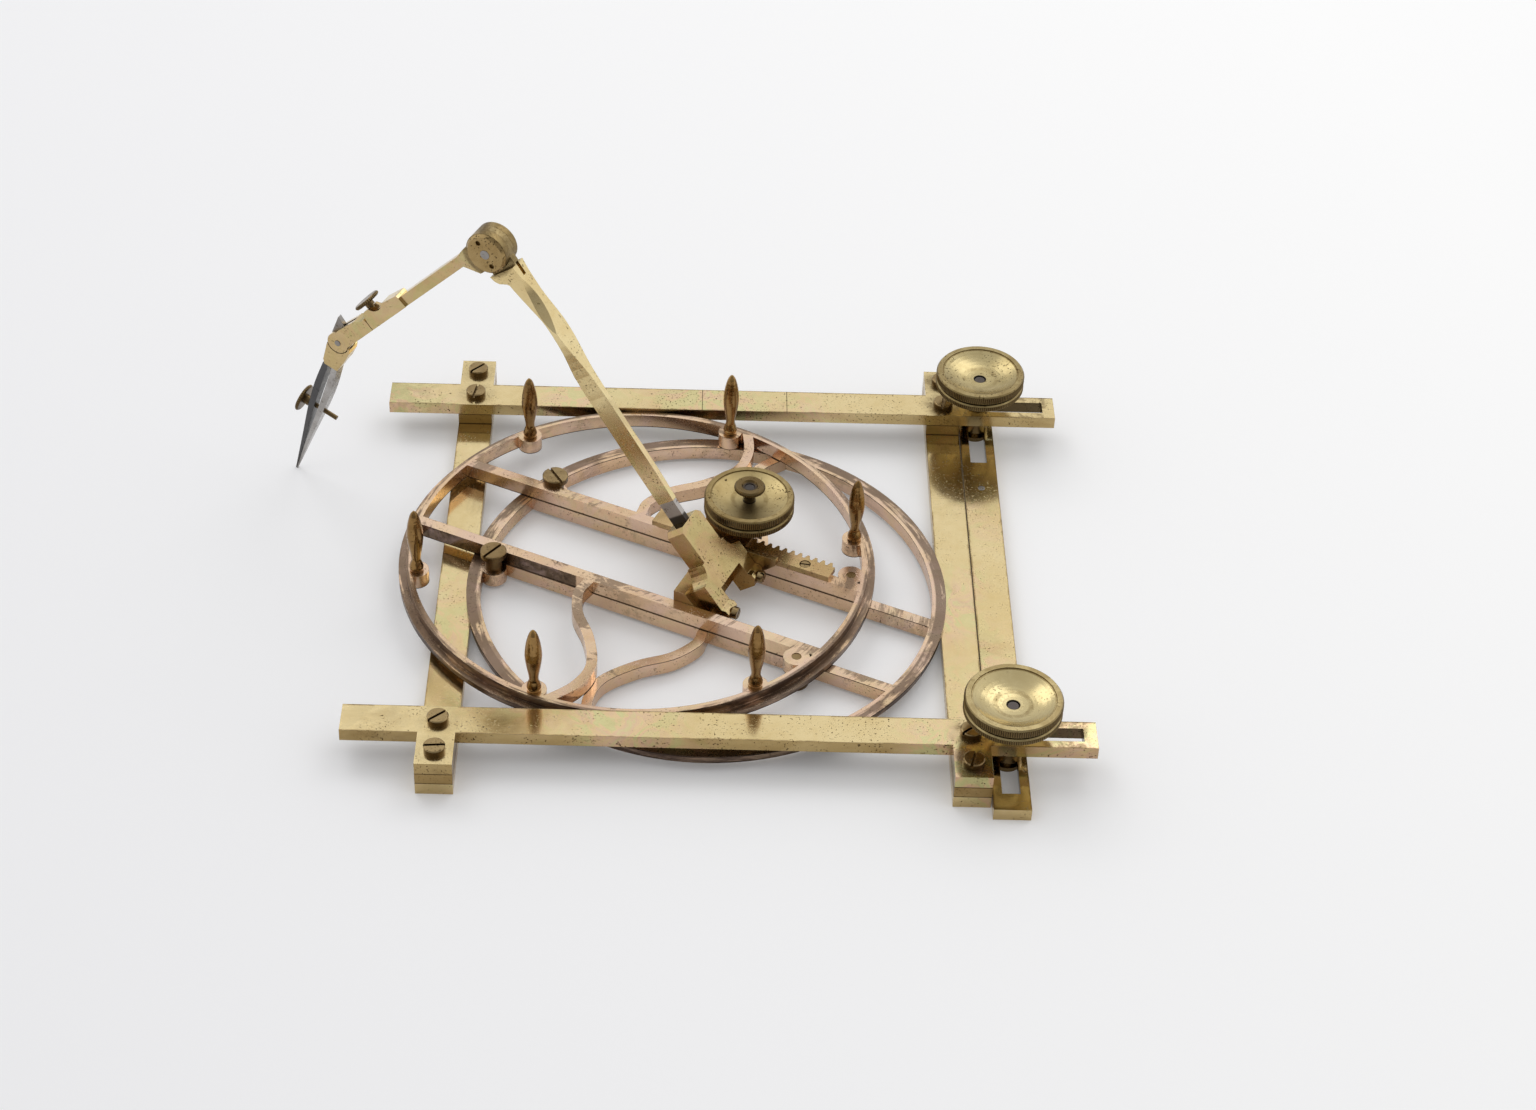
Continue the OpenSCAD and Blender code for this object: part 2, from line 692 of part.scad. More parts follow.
module carriage() {
    color(dark_brass) on_upper() difference() {
        union() {
            // Plate over the rack, which widens under the bearing and has a round end there
            translate([plate_left, skirt_v - skirt_t, plate_z])
                cube([plate_right - plate_left, pitch_v - skirt_v + skirt_t - 1, plate_t]);
            translate([pinion_u, pinion_v, plate_z]) cylinder(r = plate_r, h = plate_t);
            translate([pinion_u - drum_reach, pitch_v - 2, plate_z])
                cube([drum_reach, pinion_v + drum_d / 2 - pitch_v + 2, plate_t]);
            // Skirt along the crossbar's front face
            translate([0, skirt_v, 0]) rotate([90, 0, 0]) linear_extrude(skirt_t)
                polygon([[block_left - 7, plate_top], [skirt_right, plate_top], [skirt_right, plate_z - 0.5],
                    [skirt_right - 3.5, 9], [skirt_right - 7.5, block_low], [block_left - 3, block_low],
                    [block_left - 7, 9]]);
            // Block across the channel, with the sloping seat of the bracket
            translate([0, skirt_v, 0]) rotate([90, 0, 0]) linear_extrude(2 * skirt_v)
                polygon([[block_left, block_low], [slope_u(block_low, back_n - seat), block_low],
                    [slope_u(plate_top, back_n - seat), plate_top], [block_left, plate_top]]);
        }
        translate([pinion_u, pinion_v, plate_z - 1]) cylinder(d = arbor_d + 2 * fit, h = plate_t + 2);
        for (s = [-1, 1])
            translate([block_left + 1, s * screw_v, screw_z]) rotate([0, 90, 0]) cylinder(d = 1.84, h = 30);
        for (s = [-1, 1])
            translate([pinion_u + 2 - drum_reach, pinion_v + s * 4.5, plate_z - 1])
                cylinder(d = 1.44, h = plate_t + 2);
    }
}

// Two small screws hold the bearing from below
module carriage_screws() {
    color(dark_brass) at_pinion()
        for (s = [-1, 1])
            translate([2 - drum_reach, s * 4.5, plate_z]) cylinder(d = 1.4, h = plate_t + drum_h - 1.2);
}

// Bracket outline on the slope: stem, two hollow coves and two feet with a notch between
module bracket_outline() {
    run = cove_end - cove_start;
    ledge = feet_half - run;
    cove = [for (a = [0 : 10 : 90]) [cove_start + run * sin(a), feet_half - run * cos(a)]];
    half_outline = concat([[stem_top, stem_half - 1.5], [stem_top + 1.5, stem_half],
        [cove_start, stem_half], [cove_start, ledge]], cove,
        [[toe_end - 1, feet_half], [toe_end - 1, feet_half - foot_w], [notch_start, feet_half - foot_w]]);
    polygon(concat(half_outline, [for (i = [len(half_outline) - 1 : -1 : 0])
        [half_outline[i][0], -half_outline[i][1]]]));
}

module arm_bracket() {
    color(brass) difference() {
        union() {
            intersection() {
                on_slope() translate([0, 0, back_n]) linear_extrude(bracket_t) bracket_outline();
                on_upper() translate([0, -30, toe_low(toe_u)]) cube([toe_u, 60, 60]);
            }
            // Toes, cut square to the slope below and upright in front
            on_upper() for (s = [-1, 1])
                translate([0, s > 0 ? feet_half : foot_w - feet_half, 0]) rotate([90, 0, 0])
                    linear_extrude(foot_w) polygon([
                        [slope_u(toe_top, back_n), toe_top], [toe_u - 1, toe_top], [toe_u, toe_top - 1],
                        [toe_u, toe_low(toe_u)],
                        [slope_point(toe_end, back_n)[0], slope_point(toe_end, back_n)[1]]]);
        }
        on_long_leg() translate([-1, -tang_w / 2 - 0.02, tang_low - 0.02])
            cube([tang_in + 1.2, tang_w + 0.04, tang_high - tang_low + 0.04]);
        on_upper() for (s = [-1, 1])
            translate([socket_u, s * screw_v, screw_z]) rotate([0, 90, 0]) cylinder(d = 1.9, h = 40);
    }
}

// Point of the slope plane, as a place along the crossbars and a height
function slope_point(d, n) = [socket_u + d * cos(bracket_slope) + n * sin(bracket_slope),
    socket_z - d * sin(bracket_slope) + n * cos(bracket_slope)];
// Height of the toes' lower face above a place along the crossbars
function toe_low(u) = slope_point(toe_end, 0)[1] + (u - slope_point(toe_end, 0)[0]) * cos(bracket_slope) / sin(bracket_slope);

module bracket_screws() {
    color(dark_brass) on_upper() for (s = [-1, 1])
        translate([toe_u + 0.02, s * screw_v, screw_z]) rotate([0, 90, 0])
            slotted_screw(3.9, 1.8, 1.8, toe_u - block_left - 1.6, slot = 0.6, way = 75 - 60 * s);
}

// Compass arm

module arm_tang() {
    color(steel) on_long_leg() translate([-tang_show - 8, -tang_w / 2, tang_low])
        cube([tang_show + 8 + tang_in, tang_w, tang_high - tang_low]);
}

// The long leg: deep and slim below, it flattens and swells towards the joint, where it is hollowed below
module long_leg() {
    start = -leg_len;
    w = leg_w / 2;
    swell = leg_swell / 2;
    under = curve([[14, -0.3], [18, 0.4], [22, 1.5], [26, 2.8], [30, 3.3], [34, 3], [38, 2.2], [42, 0.9],
        [47, -0.6], [54, -1.3]], 2);
    plan = curve([[11, 2.5], [18, 2.3], [23, 2.7], [30, swell], [36, 0.9 * swell], [42, 2.1], [48, w + 0.35],
        [56, w]], 2);
    color(brass) on_long_leg() difference() {
        translate([start, 0, 0]) union() {
            intersection() {
                rotate([90, 0, 0]) linear_extrude(12, center = true)
                    polygon(concat([[5.4, -4], [7.4, -4.6], [9.3, -4.3], [10.6, -3.4], [11.6, -1.1], [12.4, -0.4]],
                        under, [[leg_len - 20, -1.8], [leg_len - tang_show, -1.9], [leg_len - tang_show, 4.1],
                        [leg_len - 16, 4.7], [60, 5.1], [4.4, 5.1]]));
                linear_extrude(16, center = true)
                    polygon(concat([[2, -joint_r], [7.4, -joint_r], [7.4, -3]], [for (p = plan) [p[0], -p[1]]],
                        [[leg_len - tang_show, -w], [leg_len - tang_show, w]],
                        [for (i = [len(plan) - 1 : -1 : 0]) plan[i]], [[7.4, 3], [7.4, joint_r], [2, joint_r]]));
            }
            rotate([90, 0, 0]) cylinder(d = joint_d, h = 2 * joint_r, center = true);
        }
        translate([start, 0, 0]) rotate([90, 0, 0]) cylinder(d = joint_pin_d + 2 * fit, h = 12, center = true);
        // Slot in the upper face, next to the joint
        translate([start + 6.9, -0.65, 3.2]) cube([4.6, 1.3, 6]);
        // Hollow along the front upper edge
        translate([start + 20.5, -2.4, 5.1]) rotate([45, 0, 0]) translate([0, 0, 28.6])
            rotate([90, 0, 0]) cylinder(r = 30, h = 16, center = true);
        translate([-tang_show - 8.2, -tang_w / 2 - 0.02, tang_low - 0.02])
            cube([9, tang_w + 0.04, tang_high - tang_low + 0.04]);
    }
}

module joint_pin() {
    color(steel) on_pen_leg() rotate([90, 0, 0])
        cylinder(d = joint_pin_d, h = joint_t + 2 * cap_t + 0.2, center = true);
}

// End caps with two spanner holes, bevelled outwards
module joint_caps() {
    r = joint_d / 2;
    color(brass) on_pen_leg() for (s = [-1, 1])
        rotate([s * 90, 0, 0]) difference() {
            translate([0, 0, joint_t / 2]) rotate_extrude() polygon([[joint_pin_d / 2 + 0.02, 0], [r - 0.1, 0],
                [r - 0.9, cap_t], [joint_pin_d / 2 + 0.02, cap_t]]);
            for (a = [79, 259])
                rotate([0, 0, a]) translate([4.1, 0, 0]) cylinder(d = 1.6, h = joint_t);
        }
}

// Pen leg: two cheeks at the joint, a faceted stub, a slim bar and a socket with a raised ear
module pen_leg() {
    h = pen_leg_w / 2;
    gap = joint_r + seat;
    ear = 2.55;
    color(brass) difference() {
        union() {
            on_pen_leg() difference() {
                union() {
                    rotate([90, 0, 0]) cylinder(d = joint_d, h = joint_t, center = true);
                    intersection() {
                        rotate([90, 0, 0]) linear_extrude(12, center = true)
                            polygon([[0, -5.6], [3.8, -4.9], [7, -4.6], [12, -3.4], [12.6, -3.2], [12.6, 0],
                                [7.2, 4.4], [5.2, 4.4], [0, 6]]);
                        linear_extrude(16, center = true)
                            polygon([[0, -joint_t / 2], [6.4, -joint_t / 2], [12.6, -h], [12.6, h], [6.4, joint_t / 2],
                                [0, joint_t / 2]]);
                    }
                }
                rotate([90, 0, 0]) cylinder(d = joint_d + 2 * free, h = 2 * gap, center = true);
            }
            on_bar() translate([9, -h, -h]) cube([split_x - 9, 2 * h, 2 * h]);
            // Socket for the knee piece, with its ear
            on_bar() rotate([90, 0, 0]) linear_extrude(2 * ear, center = true)
                polygon([[split_x - 17.6, -h], [split_x - 17.4, -h - 1], [split_x - 16.6, -h - 1.2],
                    [split_x - 11, -h - 1.7], [split_x - 2.6, -h - 2.7], [split_x - 1.6, -h - 2.5],
                    [split_x - 0.9, -h - 1.6], [split_x - 0.2, -h + 0.6], [split_x, 0.4], [split_x, h],
                    [split_x - 17.6, h]]);
        }
        on_pen_leg() rotate([90, 0, 0]) cylinder(d = joint_pin_d + 0.04, h = 12, center = true);
        on_bar() {
            translate([split_x - 10, -1.22, -1.4]) cube([11, 2.44, 2.64]);
            translate([thumb_x, 0, -h - 4]) cylinder(d = 1.9, h = 5);
            // Round hollow across the ear, beside the thumb screw
            translate([split_x - 7.6, 0, -h - 4.2]) rotate([90, 0, 0]) cylinder(r = 3.6, h = 12, center = true);
        }
    }
}

// Knurled thumb screw, which clamps the knee piece in its socket
module thumb_screw() {
    color(dark_brass) on_bar() translate([thumb_x, 0, -pen_leg_w / 2]) rotate([180, 0, 0]) union() {
        translate([0, 0, 0.1]) cylinder(d = 1.74, h = 4);
        translate([0, 0, 2.8]) rotate_extrude() polygon([[0, 0], [1.5, 0], [1.5, 1.2], [thumb_d / 2 - 0.25, 1.4],
            [thumb_d / 2, 1.65], [thumb_d / 2, 2.35], [thumb_d / 2 - 0.25, 2.6], [0, 2.6]]);
    }
}

// Knee piece: a shank in the socket, a raised bead, a body and a forked round end
module knee_piece() {
    h = pen_leg_w / 2;
    knee = [pen_leg_len - bar_drop * sin(bar_lean), 0, -bar_drop * cos(bar_lean)];
    color(brass) on_bar() difference() {
        union() {
            translate([split_x - 9.8, -1.2, -1.38]) cube([12, 2.4, 2.6]);
            rotate([90, 0, 0]) linear_extrude(knee_w, center = true)
                polygon([[split_x + 0.15, 0.4], [split_x, -h + 0.5], [split_x + 0.2, -h - 0.9], [split_x + 1.6, -h - 0.8],
                    [split_x + 2.6, -h - 1.2], [split_x + 4.2, -h - 2.1], [split_x + 6, -h - 2.2],
                    [pen_leg_len - 4, -h - 2.6], [pen_leg_len + 1.4, -h - 2.2], [pen_leg_len + 1.4, -1.25],
                    [pen_leg_len - 1, h], [split_x + 0.15, h]]);
            translate(knee) rotate([90, 0, 0]) cylinder(r = knee_r, h = knee_w, center = true);
        }
        // Fork slot, open at the end and along the upper edge
        translate([pen_leg_len - 11.5, -tongue_t / 2 - seat, -10]) cube([30, tongue_t + 2 * seat, 20]);
        translate(knee) rotate([90, 0, 0]) cylinder(d = knee_pin_d + 0.04, h = 12, center = true);
    }
}

module knee_pin() {
    color(steel) on_pen() rotate([90, 0, 0]) cylinder(d = knee_pin_d, h = knee_w + 0.3, center = true);
}

// Steel tongue of the pen, with a pointed tail above the knee
module pen_tongue() {
    color(steel) on_pen() difference() {
        rotate([90, 0, 0]) linear_extrude(tongue_t, center = true)
            polygon([[knee_r + 4, -1.6], [knee_r, -1.6], [0.6, -3.3], [-1.5, -3.5], [-8.3, -3.2], [-7, -1.4],
                [-5, 1.3], [-3, 2.4], [0, 3], [knee_r, 1.6], [knee_r + 4, 1.6]]);
        rotate([90, 0, 0]) cylinder(d = knee_pin_d + 2 * fit, h = 12, center = true);
    }
}

// Brass block that holds the two blades, bevelled and cut hollow round the knee
module pen_block() {
    start = knee_r + 0.3;
    color(brass) on_pen() difference() {
        union() {
            rotate([90, 0, 0]) linear_extrude(knee_w, center = true)
                polygon([[0, -3.4], [3, -3.3], [blade_start - 1.6, -2.8], [blade_start, -1.9], [blade_start, 2.9],
                    [blade_start - 1.2, 3.1], [6, 4.1], [2, 4.6], [0, 4.4]]);
        }
        rotate([90, 0, 0]) cylinder(r = start, h = 20, center = true);
        translate([-1, -tongue_t / 2 - 0.02, -1.62]) rotate([0, 0, 0]) cube([knee_r + 5.1, tongue_t + 0.04, 3.24]);
        for (s = [-1, 1])
            translate([blade_start - 3, -2.02, s > 0 ? 0.68 : -2.22]) cube([4, 4.04, 1.54]);
    }
}

// Two steel blades, bowed apart at the screw and meeting at the tip
module pen_blades() {
    tip = pen_len;
    x = blade_start;
    color(steel) on_pen() for (s = [-1, 1])
        difference() {
            union() {
                intersection() {
                    rotate([90, 0, 0]) linear_extrude(8, center = true) scale([1, s])
                        polygon(concat(curve([[x, 2.6], [x + 10, 3.1], [x + 20, 2.7], [x + 34, 1.6], [tip, 0.3]], 3),
                            curve([[tip, 0.06], [x + 36, 0.25], [x + 20, 0.75], [x + 8, 0.75], [x, 0.7]], 3)));
                    linear_extrude(12, center = true)
                        polygon([[x, -2.3], [x + 22, -2.1], [x + 38, -1.1], [tip, -0.35], [tip, 0.35], [x + 38, 1.1], [x + 22, 2.1], [x, 2.3]]);
                }
                translate([x - 2.8, -2, s > 0 ? 0.7 : -2.2]) cube([2.9, 4, 1.5]);
            }
            translate([pen_screw_x, 0, -6]) cylinder(d = 1.5 + 2 * fit, h = 12);
        }
}

module pen_screw() {
    color(dark_brass) on_pen() translate([pen_screw_x, 0, 0]) rotate([180, 0, 0]) union() {
        translate([0, 0, -7.2]) cylinder(d = 1.5, h = 12);
        translate([0, 0, 3.1]) cylinder(d = 3.2, h = 2);
        translate([0, 0, 4.9]) rotate_extrude() polygon([[0, 0], [pen_screw_d / 2 - 0.25, 0],
            [pen_screw_d / 2, 0.25], [pen_screw_d / 2, 0.95], [pen_screw_d / 2 - 0.25, 1.2], [0, 1.2]]);
    }
}

back_rail();
front_rail();
left_rail();
right_rail();
corner_spacers();
corner_screws();
anchor_bar();
anchor_pin();
back_stud();
front_stud();
back_clamp_nut();
front_clamp_nut();
back_top_disc();
front_top_disc();
upper_ring();
lower_ring();
ring_handles();
upper_guide_screws();
lower_guide_screws();
rack();
rack_screws();
carriage();
carriage_screws();
pinion_drum();
pinion();
pinion_lock_disc();
pinion_knob();
knob_nut();
arm_bracket();
bracket_screws();
arm_tang();
long_leg();
joint_pin();
joint_caps();
pen_leg();
thumb_screw();
knee_piece();
knee_pin();
pen_tongue();
pen_block();
pen_blades();
pen_screw();
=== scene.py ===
import json
import math

import bmesh
import bpy
from mathutils import Matrix, Vector


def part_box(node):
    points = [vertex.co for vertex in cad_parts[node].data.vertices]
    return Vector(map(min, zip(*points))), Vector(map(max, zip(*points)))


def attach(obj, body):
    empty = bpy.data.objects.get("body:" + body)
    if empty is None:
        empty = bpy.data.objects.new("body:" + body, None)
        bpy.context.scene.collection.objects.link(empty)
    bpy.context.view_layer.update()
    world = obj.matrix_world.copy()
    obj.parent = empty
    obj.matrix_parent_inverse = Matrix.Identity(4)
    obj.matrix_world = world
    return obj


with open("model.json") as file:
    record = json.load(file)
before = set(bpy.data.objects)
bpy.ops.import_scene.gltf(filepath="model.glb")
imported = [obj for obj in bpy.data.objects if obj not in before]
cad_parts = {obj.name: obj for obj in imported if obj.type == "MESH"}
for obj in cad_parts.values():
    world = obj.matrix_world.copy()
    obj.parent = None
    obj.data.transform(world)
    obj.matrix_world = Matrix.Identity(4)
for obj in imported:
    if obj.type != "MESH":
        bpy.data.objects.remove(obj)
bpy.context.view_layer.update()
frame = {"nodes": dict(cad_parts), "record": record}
nodes = frame["nodes"]
joints = {j["name"]: j for j in frame["record"]["behaviour"]["joints"]}
scene = bpy.context.scene
MM = 0.001


# Places on the object in metres, in the frame's own directions

RAIL_Y = 0.0775                      # middle of the back rail; the front rail's is -RAIL_Y
RAIL_HALF = 0.0055                   # half the width of an upper rail and of its tabs
SLOT_HALF = 0.0029                   # a little more than half a stud slot's width
CORNER_X = 0.0775                    # the corner screws and the middle of the tabs
CORNER_Y = (0.0777, 0.0900)
INDEX_LINES = (-0.0023, 0.0257)      # two thin lines across the back rail
BACK_DISC = (0.0888, 0.0775)
FRONT_DISC = (0.0888, -0.0775)
PINION = (0.012839, 0.01314)
DISC_BORE = 0.0021                   # radius just outside the bore's wall
DISC_HUB = 0.0052                    # radius of the dull ring round the hub
DISC_STEP = 0.0122                   # radius at which a disc's dish meets its rim
STUD_END = 0.0215                    # height above which a stud is dark
UPPER_RING = (-0.0217, 0)
LOWER_RING = (0, -0.010)
RING_EDGE = 0.0710                   # radius of the middle of a ring's rim, dark outside it
ALONG = (0.908508, -0.417867)        # direction of the crossbars
BAR_FACE = 0.0180                    # outer face of the crossbars, from the ring's middle
TANG_FOOT = (-0.01053, -0.00514, 0.031)      # where the tang's black root ends
TANG_AHEAD = (-0.5518, 0.2538, 0.7944)       # from bracket to arm
PEN_OUTWARD = (-0.8574, 0.3944, 0.3305)      # from the pen's inner blade to the outer one


# Camera: a long lens above the front edge, with the small shift of the photograph's framing

PHOTO_WIDTH = 1536                   # pixels
FOCAL_PIXELS = 2938
SENSOR_WIDTH = 36
CAMERA_PLACE = (-6.45, -694.6, 607.4)        # millimetres
PITCH, YAW, ROLL = math.radians(38.76), math.radians(0.38), 0.020


def place_camera():
    ahead = Vector((0, math.cos(PITCH), -math.sin(PITCH)))
    up = Vector((0, math.sin(PITCH), math.cos(PITCH)))
    right = Vector((1, 0, 0))
    swing = Matrix.Rotation(YAW, 3, "Z")
    ahead, up, right = swing @ ahead, swing @ up, swing @ right
    level, tilt = math.cos(ROLL), math.sin(ROLL)
    right, up = right * level + up * tilt, up * level - right * tilt
    data = bpy.data.cameras.new("camera")
    data.sensor_width = SENSOR_WIDTH
    data.lens = SENSOR_WIDTH * FOCAL_PIXELS / PHOTO_WIDTH
    data.shift_x = 0.0616
    data.shift_y = -0.0639
    data.clip_end = 20
    camera = bpy.data.objects.new("camera", data)
    turn = Matrix((right, up, -ahead)).transposed()
    camera.matrix_world = Matrix.Translation(Vector(CAMERA_PLACE) * MM) @ turn.to_4x4()
    scene.collection.objects.link(camera)
    scene.camera = camera


# Shader values that take part in ordinary sums

class Value:
    def __init__(self, paint, socket):
        self.paint = paint
        self.socket = socket

    def sum(self, operation, first, second=None):
        inputs = {0: first} if second is None else {0: first, 1: second}
        return self.paint.node("Math", {"operation": operation}, inputs)

    def __add__(self, other):
        return self.sum("ADD", self, other)

    def __radd__(self, other):
        return self.sum("ADD", other, self)

    def __sub__(self, other):
        return self.sum("SUBTRACT", self, other)

    def __rsub__(self, other):
        return self.sum("SUBTRACT", other, self)

    def __mul__(self, other):
        return self.sum("MULTIPLY", self, other)

    def __rmul__(self, other):
        return self.sum("MULTIPLY", other, self)

    def most(self, other):
        return self.sum("MAXIMUM", self, other)

    def least(self, other):
        return self.sum("MINIMUM", self, other)

    def held(self):
        """The value kept between 0 and 1"""
        return self.most(0.0).least(1.0)

    def size(self):
        return self.sum("ABSOLUTE", self)

    def root(self):
        return self.sum("SQRT", self)

    def above(self, low, high):
        """0 below low, 1 above high, smooth between"""
        return self.paint.node("MapRange", {"interpolation_type": "SMOOTHSTEP"},
                               {"Value": self, "From Min": low, "From Max": high})

    def below(self, low, high):
        """1 below low, 0 above high, smooth between"""
        return 1 - self.above(low, high)

    def near(self, place, full, none):
        """1 within full of a place, 0 beyond none of it, smooth between"""
        return (self - place).size().below(full, none)


class Paint:
    """One material being built"""
    def __init__(self, name):
        self.material = bpy.data.materials.new(name)
        self.material.use_nodes = True
        self.tree = self.material.node_tree
        self.tree.nodes.clear()
        self.place = self.node("TexCoord", {}, {}, "Object")

    def node(self, kind, settings, inputs, output=0):
        made = self.tree.nodes.new("ShaderNode" + kind)
        for key, setting in settings.items():
            if key == "stops":
                ramp = made.color_ramp
                while len(ramp.elements) < len(setting):
                    ramp.elements.new(0.5)
                for stop, (where, colour) in zip(ramp.elements, setting):
                    stop.position = where
                    stop.color = (*colour, 1)
            else:
                setattr(made, key, setting)
        for key, given in inputs.items():
            if isinstance(given, Value):
                self.tree.links.new(given.socket, made.inputs[key])
            else:
                made.inputs[key].default_value = given
        return Value(self, made.outputs[output])

    def blend(self, factor, first, second):
        """The first colour where the factor is 0, the second where it is 1"""
        made = self.tree.nodes.new("ShaderNodeMix")
        made.data_type = "RGBA"
        for key, given in ((0, factor), (6, first), (7, second)):
            if isinstance(given, Value):
                self.tree.links.new(given.socket, made.inputs[key])
            elif key:
                made.inputs[key].default_value = (*given, 1)
            else:
                made.inputs[key].default_value = given
        return Value(self, made.outputs[2])

    def mapped(self, stretch, move=(0, 0, 0)):
        return self.node("Mapping", {}, {"Vector": self.place, "Scale": stretch, "Location": move})

    def moved(self, *move):
        return self.mapped((1, 1, 1), move)

    def noise(self, scale, detail, rough, twist, at):
        return self.node("TexNoise", {}, {"Vector": at, "Scale": scale, "Detail": detail,
                                          "Roughness": rough, "Distortion": twist})

    def patches(self, scale, detail, rough, twist, move, low, high):
        """Soft patches of noise: 0 where it is under low, 1 where it is over high"""
        return self.noise(scale, detail, rough, twist, self.moved(*move)).above(low, high)

    def parts(self, vector):
        split = self.tree.nodes.new("ShaderNodeSeparateXYZ")
        self.tree.links.new(vector.socket, split.inputs[0])
        return [Value(self, s) for s in split.outputs]

    def axes(self):
        return self.parts(self.place)

    def facing_up(self):
        """1 on a face that looks straight up, 0 on an upright one, -1 on one that looks down"""
        return self.parts(self.node("TexCoord", {}, {}, "Normal"))[2]

    def joined(self, x, y, z):
        return self.node("CombineXYZ", {}, {"X": x, "Y": y, "Z": z})

    def round_about(self, cx, cy):
        """Distance from an upright axis, angle about it, and height"""
        x, y, z = self.axes()
        dx, dy = x - cx, y - cy
        radius = (dx * dx + dy * dy).root()
        angle = self.node("Math", {"operation": "ARCTAN2"}, {0: dy, 1: dx})
        return radius, angle, z

    def along(self, place, direction):
        """Distance from a place, measured along a direction"""
        x, y, z = (part - at for part, at in zip(self.axes(), place))
        return x * direction[0] + y * direction[1] + z * direction[2]

    def square_from(self, place):
        """Square of the distance from a place"""
        x, y, z = (part - at for part, at in zip(self.axes(), place))
        return x * x + y * y + z * z

    def bump(self, height, depth, edge):
        """Fine relief on a surface whose sharp edges look slightly rounded"""
        rounded = self.node("Bevel", {"samples": 4}, {"Radius": edge})
        return self.node("Bump", {}, {"Height": height, "Distance": depth, "Strength": 1.0,
                                      "Normal": rounded})

    def surface(self, **inputs):
        shader = self.node("BsdfPrincipled", {}, {k.replace("_", " "): v for k, v in inputs.items()})
        out = self.tree.nodes.new("ShaderNodeOutputMaterial")
        self.tree.links.new(shader.socket, out.inputs["Surface"])
        return self.material


def lin(r, g, b):
    """Screen colour 0 to 255 as the shader's linear colour"""
    return tuple(c / 255 / 12.92 if c <= 10 else ((c / 255 + 0.055) / 1.055) ** 2.4 for c in (r, g, b))


# Old lacquered metal. Tones are the pale and the deeper colour of its clouds, the colour of upright
# faces and the colour of stains. Film is thin rainbow tarnish, grain is the stretch of its fine lines,
# turned is the axis that the lines run round, and extra adds what only one piece has. Wave is the depth
# of its relief, edge the radius that sharp edges seem to have, and under how much painted shade,
# a dark brown, falls on faces that look down.

# Painted shade for faces that look down
UNDERSIDE_SHADE = lin(78, 60, 32)
PIT = lin(66, 50, 28)
FILM = ((0.30, lin(214, 214, 160)), (0.42, lin(196, 208, 150)), (0.50, lin(232, 198, 160)),
        (0.58, lin(226, 180, 170)), (0.68, lin(210, 206, 160)))
TURNING = 2600                       # turned lines to a metre, before their own detail


def old_metal(name, tones, film=0.2, stain=0.3, speck=0.6, rough=0.1, seed=0.0, grain=(300, 300, 300),
              turned=None, side_amount=0.6, extra=None, wave=0.006 * MM, under=0.0, edge=0.18 * MM):
    pale, deep, side, brown = tones
    p = Paint(name)
    here = p.moved(seed, seed * 0.7, 0)
    broad = p.noise(22, 4, 0.55, 0.6, here).above(0.36, 0.66)
    small = p.noise(260, 4, 0.65, 0.2, here).above(0.35, 0.7)
    colour = p.blend(broad * 0.6 + small * 0.35, pale, deep)

    up = p.facing_up()
    drift = p.noise(60, 4, 0.6, 0.5, p.mapped((1, 1, 2.5), (seed, 5.2, 1.1)))
    sides = up.size().below(0.35, 0.8) * (side_amount + (drift - 0.5) * 0.9).held()
    colour = p.blend(sides, colour, side)
    # Painted shade on faces that look down, as much as under gives
    down = (0 - up).above(0.6, 0.9)
    colour = p.blend(down * under, colour, UNDERSIDE_SHADE)

    if film:
        hue = p.noise(70, 3, 0.6, 2.2, here)
        rainbow = p.node("ValToRGB", {"stops": FILM}, {"Fac": hue})
        colour = p.blend(p.noise(16, 3, 0.5, 0.4, here).above(0.42, 0.62) * film, colour, rainbow)

    stains = p.patches(26, 6, 0.62, 0.9, (3.1 + seed, 1.7, 0.4), 0.55, 0.74) * stain
    colour = p.blend(stains, colour, brown)
    pits = p.noise(1500, 2, 0.5, 0, here).above(0.60, 0.66) * p.noise(110, 3, 0.6, 0, here).above(0.44, 0.58)
    pits = pits.most(p.noise(520, 2, 0.5, 0, here).above(0.735, 0.76) * 0.9)
    colour = p.blend(pits * speck, colour, PIT)

    if turned:
        radius, angle, z = p.round_about(*turned)
        lines = p.noise(1, 5, 0.75, 0.0, p.joined(radius * TURNING, angle * 1.2, z * TURNING))
    else:
        lines = p.noise(1, 5, 0.7, 0.0, p.mapped(grain))

    roughness = (rough + broad * 0.04 + small * 0.03 + lines * 0.08 + stains * 0.25 + pits * 0.3
                 + sides * 0.08 + down * 0.2)
    if extra:
        colour, roughness = extra(p, colour, roughness, seed)
    height = lines * 0.7 - pits * 1.5 + small * 0.3
    return p.surface(Base_Color=colour, Metallic=1.0, Roughness=roughness, Normal=p.bump(height, wave, edge))


# What single pieces have besides: each takes the colour and roughness so far and gives the new ones

